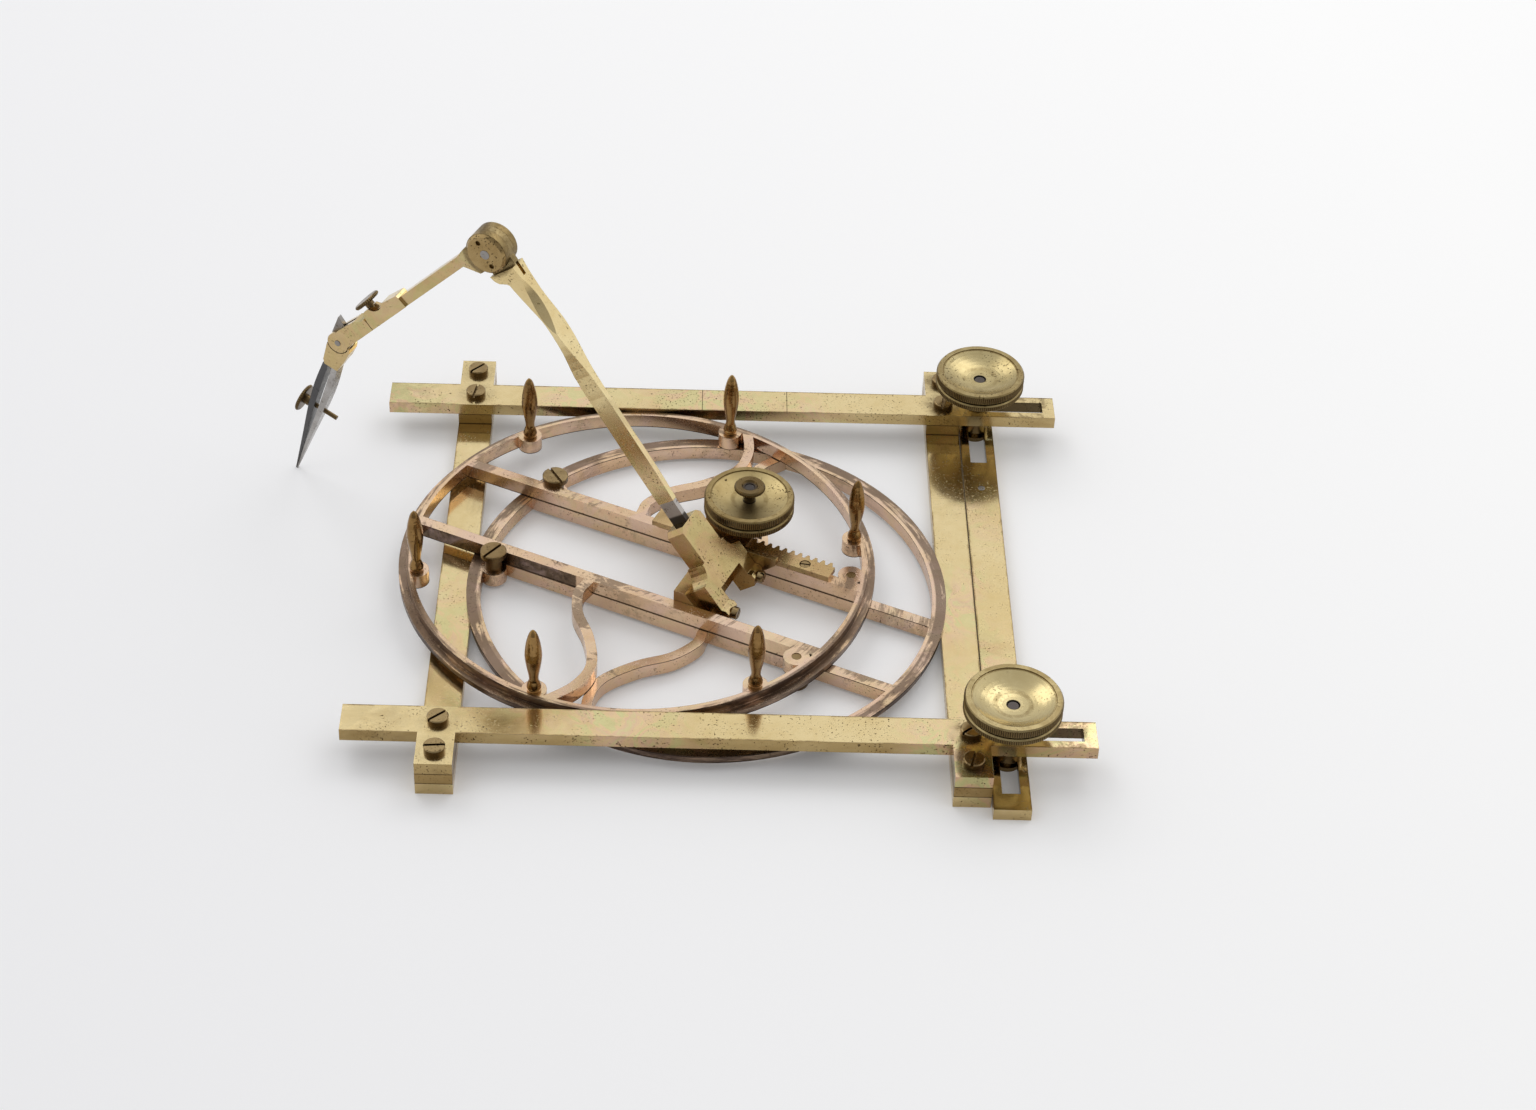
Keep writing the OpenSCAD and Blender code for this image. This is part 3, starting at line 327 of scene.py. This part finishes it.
def bar_edges(name, axis, low, high, slot_middle, extra=None):
    """Dark, rubbed lines along a flat bar's long edges, painted shade on the slot walls, and wear at a rail's
    slot end
    """
    start, end = (corner[1 - axis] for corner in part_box(name))
    is_rail = axis == 1

    def worn(p, colour, roughness, seed):
        across, along = p.axes()[axis], p.axes()[1 - axis]
        up = p.facing_up()
        top = up.above(0.7, 0.9)
        from_edge = (across - low).size().least((across - high).size())
        broken = p.patches(140, 4, 0.7, 0.3, (seed, 2.2, 0), 0.42, 0.62)
        rubbed = (from_edge.below(0.00015, 0.0007) * broken).most(from_edge.below(0.00012, 0.00026) * 0.85)
        rubbed = rubbed * top
        if is_rail:
            rubbed = rubbed * (along.size() - CORNER_X).size().above(RAIL_HALF - 0.0001, RAIL_HALF + 0.0001)
        colour = p.blend(rubbed * 0.75, colour, lin(104, 78, 42))

        # Painted shade on the upright walls of the stud slot
        slot_wall_shade = across.near(slot_middle, SLOT_HALF - 0.0001, SLOT_HALF + 0.0001) * up.size().below(0.3, 0.6)
        slot_wall_shade = slot_wall_shade * along.above(start + 0.001, start + 0.0012) * along.below(end - 0.0012, end - 0.001)
        colour = p.blend(slot_wall_shade * 0.85, colour, lin(70, 58, 42))
        if is_rail:
            slot_end = p.patches(230, 4, 0.7, 0.6, (seed, 0.9, 0), 0.40, 0.58)
            slot_end = slot_end * along.above(0.0985, 0.1035) * along.below(0.1105, 0.1125) * top
            colour = p.blend(slot_end * 0.6, colour, lin(92, 72, 44))
        roughness = roughness + rubbed * 0.15
        return extra(p, colour, roughness, seed) if extra else (colour, roughness)
    return worn


def oiled_corners(p, colour, roughness, seed):
    """Old oil round the corner screws, most of it at the right, and dirt on the left end"""
    x, y = p.axes()[:2]
    patch = p.patches(170, 5, 0.7, 0.8, (seed, 3.1, 0), 0.36, 0.60)
    oil = 0.0
    for place in CORNER_Y:
        dx, dy = x.size() - CORNER_X, y.size() - place
        oil = (dx * dx + dy * dy).root().below(0.0032, 0.0085).most(oil)
    oil = oil * (0.25 + patch * 0.75) * x.below(0.0828, 0.0834) * (0.4 + x.above(-0.01, 0.01) * 0.6)
    oil = oil.most(x.below(-0.098, -0.080) * patch * 0.3)
    return p.blend(oil * 0.75, colour, lin(88, 68, 38)), roughness + oil * 0.18


def scribed(p, colour, roughness, seed):
    """Two thin index lines across the back rail, besides its oiled corners"""
    x, y, z = p.axes()
    line = 0.0
    for place in INDEX_LINES:
        line = x.near(place, 0.00008, 0.00016) + line
    line = line * y.above(0.0718, 0.0722) * z.above(0.0112, 0.0118)
    return oiled_corners(p, p.blend(line * 0.85, colour, lin(52, 40, 20)), roughness + line * 0.3, seed)


def spacer_seam_shade(p, colour, roughness, seed):
    """Painted shade in the lines between the spacers and the rails above and below them"""
    low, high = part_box("corner_spacers")
    z = p.axes()[2]
    # Painted shade in the seams at the spacers' top and foot
    line = (z - low.z).size().least((z - high.z).size()).below(0.00012, 0.0004)
    return p.blend(line * 0.85, colour, lin(54, 40, 24)), roughness + line * 0.2


def ring_tarnish_and_shade(middle, joint_height, has_bar_shade):
    """Dark grey-brown on a ring's rim, streaks along the circle, pink clouds, painted shade on a crossbar's
    outer face, and painted shade in the line between the rings
    """
    cx, cy = middle

    def worn(p, colour, roughness, seed):
        radius, angle, z = p.round_about(cx, cy)
        level = p.facing_up().size()
        flat, upright = level.above(0.6, 0.9), level.below(0.4, 0.7)
        streak = p.noise(1, 5, 0.7, 0.4, p.joined(angle * 5 + seed, radius * 700, z * 500))
        patch = p.noise(34, 5, 0.65, 0.8, p.moved(seed, 0.3, 0))
        rim = radius.above(RING_EDGE - 0.0003, RING_EDGE + 0.0003)
        dark = rim * (1 - flat) * (0.9 + (streak - 0.5) * 1.6).held()
        dark = dark.most(rim * flat * (streak * 0.6 + patch * 0.6).above(0.50, 0.60) * 0.8)
        dark = dark.most((streak * 0.35 + patch * 0.75).above(0.58, 0.64) * (0.25 + flat * 0.4))
        if has_bar_shade:
            along = p.along((cx, cy, 0), (ALONG[0], ALONG[1], 0))
            across = p.along((cx, cy, 0), (ALONG[1], -ALONG[0], 0))
            # Painted shade on the crossbar's outer upright face
            shade = across.near(BAR_FACE, 0.0001, 0.0003) * along.below(-0.0125, -0.0118) * upright
            colour = p.blend(shade * (0.9 + (streak - 0.5) * 0.5), colour, lin(66, 52, 40))
        colour = p.blend(dark, colour, lin(84, 69, 60))
        pink = p.patches(48, 3, 0.6, 1.4, (0.7, seed, 0), 0.44, 0.64)
        colour = p.blend(pink * 0.35 * (1 - dark), colour, lin(214, 184, 178))
        # Painted shade in the line where the rings meet, on upright faces
        ring_seam_shade = z.near(joint_height, 0.00022, 0.00034) * upright
        colour = p.blend(ring_seam_shade * 0.9, colour, lin(40, 30, 22))
        return colour, roughness + dark * 0.14 + ring_seam_shade * 0.4
    return worn


def disc_wear_and_bore_shade(cx, cy):
    """Dull brown rings where a disc meets its hub and inside its rim, and painted shade in the bore"""
    def worn(p, colour, roughness, seed):
        radius = p.round_about(cx, cy)[0]
        patch = p.patches(180, 5, 0.7, 0.6, (seed, 1.3, 0), 0.38, 0.62)
        hub = radius.near(DISC_HUB, 0.0003, 0.0011)
        step = radius.near(DISC_STEP, 0.0002, 0.0005)
        rim = radius.above(DISC_STEP + 0.0002, DISC_STEP + 0.0005)
        dull = (hub * patch * 0.5).most(step * (0.35 + patch * 0.4)).most(rim * (0.34 + patch * 0.3))
        colour = p.blend(dull, colour, lin(120, 98, 58))
        # Painted shade in the bore
        bore = radius.below(DISC_BORE - 0.00005, DISC_BORE + 0.00005)
        return p.blend(bore * 0.8, colour, lin(64, 58, 56)), roughness + dull * 0.15
    return worn


def dark_stud_end(p, colour, roughness, seed):
    """The stud's upper end in the disc's bore, dark with oil"""
    end = p.axes()[2].above(STUD_END, STUD_END + 0.0003)
    return p.blend(end * 0.9, colour, lin(74, 72, 76)), roughness


def dark_arbor_end(p, colour, roughness, seed):
    """The arbor's end in the knob's nut, dark with old oil"""
    nut_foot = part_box("knob_nut")[0].z
    end = p.axes()[2].above(nut_foot - 0.0001, nut_foot)
    return p.blend(end * 0.85, colour, lin(62, 58, 58)), roughness + end * 0.1


def blade_shade_and_dull_tips(p, colour, roughness, seed):
    """The pen's outer blade, darkened with painted shade, and the dull tips of both"""
    tip = min((v.co for v in nodes["pen_blades"].data.vertices), key=lambda place: place.z)
    # Painted shade over the outer blade
    outer = p.along(tip, PEN_OUTWARD).above(0.0001, 0.0003)
    dull = (p.axes()[2] - tip.z).below(0.004, 0.010)
    colour = p.blend(outer * 0.88, colour, lin(64, 64, 66))
    return p.blend(dull * 0.35, colour, lin(86, 76, 70)), roughness + outer * 0.05 + dull * 0.1


def joint_wear(p, colour, roughness, seed):
    """Dull brown metal round the compass joint"""
    near = p.square_from(joints["compass_joint"]["pos_m"]).root().below(0.0082, 0.0098)
    patch = p.patches(150, 5, 0.7, 0.6, (seed, 0.4, 0), 0.36, 0.64)
    return (p.blend(near * (0.62 + patch * 0.38), colour, lin(116, 97, 62)),
            roughness + near * 0.22)


def dark_root(p, colour, roughness, seed):
    """The tang where it enters the bracket, nearly black"""
    dark = p.along(TANG_FOOT, TANG_AHEAD).below(-0.0006, 0.0002)
    return p.blend(dark * 0.9, colour, lin(52, 44, 36)), roughness + dark * 0.15


def slot_shade_and_patina(top):
    """Painted shade in the slots of screw heads and brown patina on their sides, below their bright top faces
    """
    def worn(p, colour, roughness, seed):
        # Painted shade on the slot floors and patina on the heads' sides, by height
        low = p.axes()[2].below(top - 0.00045, top - 0.0002)
        low = low * (0.45 + p.patches(300, 4, 0.65, 0.5, (seed, 0, 0), 0.35, 0.7) * 0.5)
        return p.blend(low, colour, lin(84, 64, 38)), roughness + low * 0.1
    return worn


def valley_shade(centre, axis, radius, depth):
    """Painted shade in the valleys between milled ridges"""
    def worn(p, colour, roughness, seed):
        along = p.along(centre, axis)
        out = (p.square_from(centre) - along * along).root()
        # Painted shade where the radius is down in a valley
        deep = out.below(radius + depth * 0.2, radius + depth * 0.8)
        return p.blend(deep * 0.85, colour, lin(58, 44, 26)), roughness + deep * 0.2
    return worn


# Finishes of the CAD nodes

PALE = lin(229, 209, 160)
GOLD = lin(214, 190, 136)
BRONZE = lin(164, 138, 90)
UMBER = lin(112, 84, 46)

RAIL_TONES = PALE, GOLD, BRONZE, UMBER
SPACER_TONES = GOLD, lin(180, 150, 96), lin(138, 112, 70), UMBER
BACK_DISC_TONES = lin(200, 184, 138), lin(166, 148, 102), lin(136, 114, 72), UMBER
FRONT_DISC_TONES = lin(206, 190, 144), lin(190, 172, 124), lin(136, 114, 72), UMBER
KNOB_TONES = lin(182, 164, 118), lin(152, 132, 88), lin(136, 114, 72), UMBER
NUT_TONES = lin(126, 106, 70), lin(92, 74, 46), lin(76, 60, 36), UMBER
RING_TONES = lin(232, 204, 172), lin(212, 178, 142), lin(208, 172, 138), lin(122, 94, 72)
HANDLE_TONES = lin(178, 144, 90), lin(98, 70, 40), lin(126, 94, 56), lin(60, 42, 26)
SCREW_TONES = lin(164, 142, 102), lin(122, 98, 64), lin(98, 76, 46), lin(68, 50, 30)
THUMB_SCREW_TONES = lin(124, 104, 72), lin(88, 70, 46), lin(84, 66, 42), lin(50, 40, 28)
RACK_TONES = lin(200, 172, 124), lin(164, 132, 88), lin(136, 106, 66), lin(88, 64, 40)
BRACKET_TONES = lin(210, 190, 138), lin(190, 166, 112), lin(150, 114, 62), UMBER
LONG_LEG_TONES = lin(238, 221, 172), lin(220, 196, 142), lin(204, 178, 124), UMBER
PEN_LEG_TONES = lin(216, 196, 144), lin(192, 166, 112), lin(168, 142, 92), UMBER
CAP_TONES = lin(196, 172, 124), lin(150, 124, 80), lin(150, 124, 80), lin(84, 64, 38)
STUD_TONES = lin(176, 152, 108), lin(132, 108, 72), lin(108, 86, 54), lin(72, 56, 36)
STEEL_TONES = lin(182, 180, 178), lin(140, 136, 132), lin(120, 112, 104), lin(92, 74, 58)
TANG_TONES = lin(206, 202, 198), lin(170, 164, 160), lin(160, 152, 144), lin(104, 88, 72)
BLADE_TONES = lin(196, 194, 192), lin(158, 154, 150), lin(140, 134, 128), lin(92, 78, 66)
PINION_TONES = lin(150, 146, 140), lin(112, 106, 100), lin(96, 88, 80), lin(72, 56, 44)

GRAIN_X = (25, 700, 700)
GRAIN_Y = (700, 25, 700)
GRAIN_FILED = (500, 500, 500)
GRAIN_STEEL = (700, 700, 700)


def finish(names, material):
    for name in names:
        data = nodes[name].data
        data.materials.clear()
        data.materials.append(material)
        for face in data.polygons:
            face.material_index = 0


def finish_bars():
    for name, middle, seed, side_amount, extra in (("back_rail", RAIL_Y, 0.0, 0.6, scribed),
                                                   ("front_rail", -RAIL_Y, 4.3, 0.85, oiled_corners)):
        edges = bar_edges(name, 1, middle - RAIL_HALF, middle + RAIL_HALF, middle, extra)
        finish([name], old_metal("brass_" + name, RAIL_TONES, film=0.45, stain=0.34, speck=0.9, rough=0.07,
                                 seed=seed, grain=GRAIN_X, side_amount=side_amount, extra=edges, under=0.85))
    for name, seed in (("left_rail", 8.1), ("right_rail", 12.7), ("anchor_bar", 17.9)):
        left, right = (corner.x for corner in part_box(name))
        edges = bar_edges(name, 0, left, right, BACK_DISC[0])
        finish([name], old_metal("brass_" + name, RAIL_TONES, film=0.4, stain=0.38, rough=0.07, seed=seed,
                                 grain=GRAIN_Y, extra=edges, under=0.85))
    finish(["corner_spacers"],
           old_metal("brass_spacers", SPACER_TONES, film=0.0, stain=0.5, rough=0.16, seed=21,
                     grain=(200, 200, 1500), side_amount=0.8, extra=spacer_seam_shade))


def finish_discs():
    for tail, tones, centre, stain, speck, rough, seed, names in (
            ("back", BACK_DISC_TONES, BACK_DISC, 0.42, 1.0, 0.2, 6.6, ["back_clamp_nut", "back_top_disc"]),
            ("front", FRONT_DISC_TONES, FRONT_DISC, 0.15, 0.35, 0.14, 7.6,
             ["front_clamp_nut", "front_top_disc"]),
            ("pinion", KNOB_TONES, PINION, 0.42, 1.0, 0.32, 8.6, ["pinion_lock_disc", "pinion_knob"])):
        finish(names, old_metal("brass_discs_" + tail, tones, film=0.0, stain=stain, speck=speck, rough=rough,
                                seed=seed, turned=centre, wave=0.004 * MM, extra=disc_wear_and_bore_shade(*centre)))
    finish(["knob_nut"],
           old_metal("brass_knob_nut", NUT_TONES, film=0.0, stain=0.6, speck=1.0, rough=0.2, seed=3.9,
                     turned=PINION, extra=disc_wear_and_bore_shade(*PINION)))
    finish(["back_stud", "front_stud"],
           old_metal("brass_studs", STUD_TONES, film=0.0, stain=0.6, speck=0.9, rough=0.14, seed=1.9,
                     extra=dark_stud_end))


def finish_rings():
    for name, seed, tarnish in (("upper_ring", 6.4, ring_tarnish_and_shade(UPPER_RING, 0.00605, True)),
                                ("lower_ring", 9.2, ring_tarnish_and_shade(LOWER_RING, 0.00595, False))):
        finish([name], old_metal("red_brass_" + name, RING_TONES, film=0.12, stain=0.35, rough=0.11,
                                 seed=seed, side_amount=0.4, extra=tarnish, under=0.6))
    finish(["ring_handles"],
           old_metal("brass_handles", HANDLE_TONES, film=0.0, stain=0.75, rough=0.07, seed=9.9,
                     grain=(500, 500, 120), side_amount=0.5))


def finish_screws():
    for name in ("corner_screws", "upper_guide_screws", "lower_guide_screws", "rack_screws"):
        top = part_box(name)[1].z
        finish([name],
               old_metal("brass_screws_" + name, SCREW_TONES, film=0.0, stain=0.6, speck=0.9, rough=0.14,
                         seed=1.2, grain=GRAIN_FILED, extra=slot_shade_and_patina(top)))
    finish(["carriage_screws", "bracket_screws"],
           old_metal("brass_screws", SCREW_TONES, film=0.0, stain=0.6, speck=0.9, rough=0.16, seed=1.2,
                     grain=GRAIN_FILED))
    finish(["thumb_screw", "pen_screw"],
           old_metal("brass_small_screws", THUMB_SCREW_TONES, film=0.0, stain=0.7, speck=0.9, rough=0.2,
                     seed=5.8))


def finish_carriage_and_arm():
    finish(["rack", "pinion_drum", "carriage"],
           old_metal("brass_rack", RACK_TONES, film=0.1, stain=0.5, rough=0.18, seed=5.5, grain=GRAIN_FILED))
    finish(["arm_bracket"],
           old_metal("brass_bracket", BRACKET_TONES, film=0.15, speck=0.9, rough=0.07, seed=7.7,
                     side_amount=0.9, under=0.8))
    finish(["long_leg"],
           old_metal("brass_long_leg", LONG_LEG_TONES, stain=0.25, seed=3.3, side_amount=0.4, under=0.5,
                     extra=joint_wear))
    finish(["pen_leg", "knee_piece", "pen_block"],
           old_metal("brass_legs", PEN_LEG_TONES, rough=0.09, seed=3.3, side_amount=0.45, under=0.7,
                     extra=joint_wear))
    finish(["joint_caps"],
           old_metal("brass_caps", CAP_TONES, film=0.0, stain=0.7, speck=1.0, rough=0.15, seed=8.8,
                     side_amount=0.3))


def finish_steel():
    finish(["anchor_pin", "joint_pin", "knee_pin", "pen_tongue"],
           old_metal("steel", STEEL_TONES, film=0.0, stain=0.4, rough=0.2, seed=11.1, grain=GRAIN_STEEL))
    finish(["arm_tang"],
           old_metal("steel_tang", TANG_TONES, film=0.0, stain=0.35, rough=0.3, seed=13.1, extra=dark_root))
    finish(["pen_blades"],
           old_metal("steel_blades", BLADE_TONES, film=0.0, stain=0.4, rough=0.16, seed=11.1,
                     grain=GRAIN_STEEL, side_amount=0.3, extra=blade_shade_and_dull_tips))
    finish(["pinion"],
           old_metal("steel_pinion", PINION_TONES, film=0.0, stain=0.5, rough=0.22, seed=15.7,
                     grain=GRAIN_STEEL, extra=dark_arbor_end))


# Milled edges: a toothed band round each disc, where the disc is widest

KNOB_RIM_TONES = lin(172, 152, 106), lin(138, 118, 76), lin(120, 100, 64), lin(80, 64, 40)
DISC_RIM_TONES = lin(148, 128, 86), lin(118, 98, 62), lin(102, 84, 52), lin(72, 58, 36)
DARK_RIM_TONES = lin(160, 138, 96), lin(124, 102, 66), lin(102, 82, 52), lin(70, 54, 34)
DISC_RIDGES, DISC_RIDGE_DEPTH = 136, 0.2 * MM
NUT_RIDGES, SCREW_RIDGES, SMALL_RIDGE_DEPTH = 48, 40, 0.15 * MM


def milled_edge(node, joint, tones, ridges, depth):
    """A ring of fine straight ridges on a disc that turns on a joint's axis, closed within the disc"""
    axis, centre = Vector(joints[joint]["axis"]), Vector(joints[joint]["pos_m"])
    spots = [(v.co - centre) for v in nodes[node].data.vertices]
    reach = [(s.dot(axis), (s - axis * s.dot(axis)).length) for s in spots]
    radius = max(r for _, r in reach)
    rim = [h for h, r in reach if r > radius - 0.02 * MM]
    low, high = min(rim), max(rim)
    soft = min(0.18 * MM, (high - low) * 0.2)
    inner, foot, skin = radius - 0.5 * MM, radius - 0.05 * MM, radius + 0.02 * MM
    valley, ridge = radius + 0.01 * MM, radius + depth
    steps = ((low, inner, inner), (low, foot, skin), (low + soft, valley, ridge),
             (high - soft, valley, ridge), (high, foot, skin), (high, inner, inner))
    bm = bmesh.new()
    bmesh.ops.create_circle(bm, cap_ends=False, radius=radius, segments=2 * ridges)
    first = loop = list(bm.edges)
    for number, (height, between, tooth) in enumerate(steps):
        if number:
            made = bmesh.ops.extrude_edge_only(bm, edges=loop)["geom"]
            loop = [g for g in made if isinstance(g, bmesh.types.BMEdge)]
        for vert in {v for e in loop for v in e.verts}:
            turn = math.atan2(vert.co.y, vert.co.x)
            out = tooth if round(turn / math.pi * ridges) % 2 else between
            vert.co = Vector((out * math.cos(turn), out * math.sin(turn), height))
    bmesh.ops.bridge_loops(bm, edges=first + loop)
    bmesh.ops.recalc_face_normals(bm, faces=bm.faces)
    lean = Vector((0, 0, 1)).rotation_difference(axis).to_matrix().to_4x4()
    bmesh.ops.transform(bm, matrix=Matrix.Translation(centre) @ lean, verts=bm.verts)
    mesh = bpy.data.meshes.new(node + "_milling")
    bm.to_mesh(mesh)
    bm.free()
    mesh.materials.append(old_metal("brass_milling_" + node, tones, film=0.0, stain=0.5, speck=0.3, rough=0.2,
                                    seed=len(node), side_amount=0.7, edge=0.04 * MM,
                                    extra=valley_shade(centre, axis, radius, depth)))
    piece = bpy.data.objects.new(node + "_milling", mesh)
    scene.collection.objects.link(piece)
    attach(piece, joints[joint]["child"])


def mill_edges():
    for disc, joint, tones in (("back_clamp_nut", "back_clamp_spin", DISC_RIM_TONES),
                               ("back_top_disc", "back_top_spin", DISC_RIM_TONES),
                               ("front_clamp_nut", "front_clamp_spin", DISC_RIM_TONES),
                               ("front_top_disc", "front_top_spin", DISC_RIM_TONES),
                               ("pinion_lock_disc", "lock_disc_spin", DARK_RIM_TONES),
                               ("pinion_knob", "pinion_spin", KNOB_RIM_TONES)):
        milled_edge(disc, joint, tones, DISC_RIDGES, DISC_RIDGE_DEPTH)
    milled_edge("knob_nut", "knob_nut_spin", DARK_RIM_TONES, NUT_RIDGES, SMALL_RIDGE_DEPTH)
    for screw in ("thumb_screw", "pen_screw"):
        milled_edge(screw, screw + "_spin", DARK_RIM_TONES, SCREW_RIDGES, SMALL_RIDGE_DEPTH)


# Studio: pale floor with a painted light gradient, even light from all round, and two softboxes behind, left
# and right

SKY_LEVELS = ((0.0, 0.5), (0.2, 0.74), (0.45, 0.90), (0.70, 0.94), (0.92, 0.76), (1.0, 0.72))
SOFTBOX_WIDTH, SOFTBOX_DISTANCE = 0.9, 1.8
SOFTBOX_RISE = 50                    # degrees above the floor


def make_floor():
    mesh = bpy.data.meshes.new("floor")
    bm = bmesh.new()
    bmesh.ops.create_grid(bm, x_segments=1, y_segments=1, size=3)
    bm.to_mesh(mesh)
    bm.free()
    floor = bpy.data.objects.new("floor", mesh)
    scene.collection.objects.link(floor)
    p = Paint("floor_paper")
    x, y = p.axes()[:2]
    # Painted light on the floor: brighter to the right and a little to the back
    painted_floor_light = (x * 1.6 + y * 0.45 + 0.45).held()
    mesh.materials.append(p.surface(Base_Color=p.blend(painted_floor_light, lin(232, 232, 234), lin(247, 247, 247)),
                                    Roughness=0.9, Specular_IOR_Level=0.1,
                                    Emission_Color=(1, 1, 1, 1), Emission_Strength=0.1))


class Sky(Paint):
    """The studio round the object: bright to the left and right, darker on the camera's side"""
    def __init__(self):
        world = bpy.data.worlds.new("studio")
        scene.world = world
        world.use_nodes = True
        self.tree = world.node_tree
        self.tree.nodes.clear()
        x, y, z = self.parts(self.node("TexCoord", {}, {}, "Generated"))
        stops = [(height, (level,) * 3) for height, level in SKY_LEVELS]
        level = self.node("ValToRGB", {"stops": stops}, {"Fac": z})
        level = self.blend(x.size().above(0.45, 0.85), level, (0.98, 0.98, 0.98))
        level = self.blend((y * -1).above(0.2, 0.55) * 0.55, level, (0.05, 0.05, 0.05))
        studio = self.node("Background", {}, {"Color": level})
        plain = self.node("Background", {}, {"Color": (0.86, 0.86, 0.87, 1)})
        seen = self.node("LightPath", {}, {}, "Is Camera Ray")
        both = self.tree.nodes.new("ShaderNodeMixShader")
        for number, part in enumerate((seen, studio, plain)):
            self.tree.links.new(part.socket, both.inputs[number])
        out = self.tree.nodes.new("ShaderNodeOutputWorld")
        self.tree.links.new(both.outputs[0], out.inputs["Surface"])


def softbox(name, azimuth, glow):
    """A square lamp at an azimuth from behind the object, in degrees, with the brightness it shows"""
    data = bpy.data.lights.new(name, "AREA")
    data.shape = "RECTANGLE"
    data.size, data.size_y = SOFTBOX_WIDTH, SOFTBOX_WIDTH
    data.energy = glow * math.pi * SOFTBOX_WIDTH * SOFTBOX_WIDTH
    lamp = bpy.data.objects.new(name, data)
    side, rise = math.radians(azimuth), math.radians(SOFTBOX_RISE)
    way = Vector((math.sin(side) * math.cos(rise), math.cos(side) * math.cos(rise), math.sin(rise)))
    place = way * SOFTBOX_DISTANCE
    lamp.matrix_world = Matrix.Translation(place) @ (-place).to_track_quat("-Z", "Y").to_matrix().to_4x4()
    lamp.visible_camera = False
    scene.collection.objects.link(lamp)


place_camera()
make_floor()
Sky()
softbox("softbox_left", -38, 1.45)
softbox("softbox_right", 36, 1.3)
finish_bars()
finish_discs()
finish_rings()
finish_screws()
finish_carriage_and_arm()
finish_steel()
mill_edges()
scene.view_settings.view_transform = "Standard"
